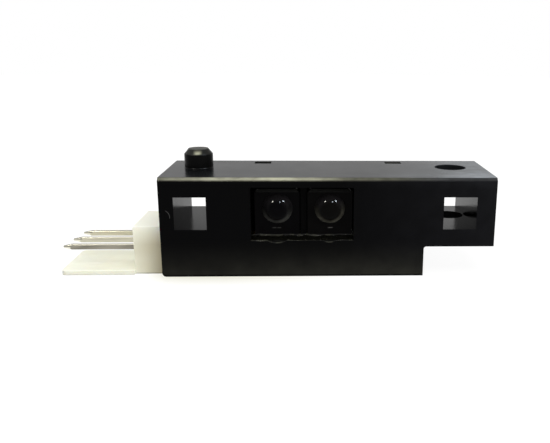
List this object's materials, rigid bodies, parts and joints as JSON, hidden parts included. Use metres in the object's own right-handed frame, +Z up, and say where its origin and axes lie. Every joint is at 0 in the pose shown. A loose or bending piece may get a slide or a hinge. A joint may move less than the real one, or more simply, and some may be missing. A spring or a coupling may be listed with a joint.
{
  "type": "paper sensor",
  "caption": "Reflective paper sensor: black moulded housing with two lensed optical packages in a window, a screw hole, a locating post and a pin header with a lock plate.",
  "frame": {"origin": "on the surface under the part, below the middle of its bounding box", "axes": "+X along the housing from the header to the screw hole, +Y from the optical face to the back cover, +Z up out of the mounting face"},
  "size_m": [0.0426, 0.01, 0.0118],
  "materials": {
    "housing_black": "injection moulded, satin gloss, black",
    "cover_black": "injection moulded, satin, black",
    "header_nylon": "natural nylon, waxy and slightly translucent",
    "pin_tin": "tin plated wire, softly drawn",
    "board_resin": "paper phenolic board",
    "lens_resin": "clear dark epoxy that passes infrared",
    "lens_resin_dark": "clear dark epoxy that blocks visible light",
    "glue_clear": "cured adhesive, wet gloss",
    "chip_black": "glazed chip resistor",
    "chip_brown": "ceramic chip capacitor",
    "lead_tin": "tin plated lead frame",
    "solder": "solder, softly bright"
  },
  "bodies": {
    "root": {"housing": "housing_black", "back_cover": "cover_black", "header_block": "header_nylon", "pin_front": "pin_tin", "pin_middle": "pin_tin", "pin_rear": "pin_tin", "circuit_board": "board_resin", "emitter_package": "lens_resin", "detector_package": "lens_resin_dark", "glue_bead": "glue_clear", "chip_resistor": "chip_black", "chip_capacitor": "chip_brown", "emitter_lead_a": "lead_tin", "emitter_lead_b": "lead_tin", "detector_lead_a": "lead_tin", "detector_lead_b": "lead_tin", "detector_lead_c": "lead_tin", "solder_pin_front": "solder", "solder_pin_middle": "solder", "solder_pin_rear": "solder", "solder_emitter_a": "solder", "solder_emitter_b": "solder", "solder_detector_a": "solder", "solder_detector_b": "solder", "solder_detector_c": "solder"}
  },
  "joints": []
}
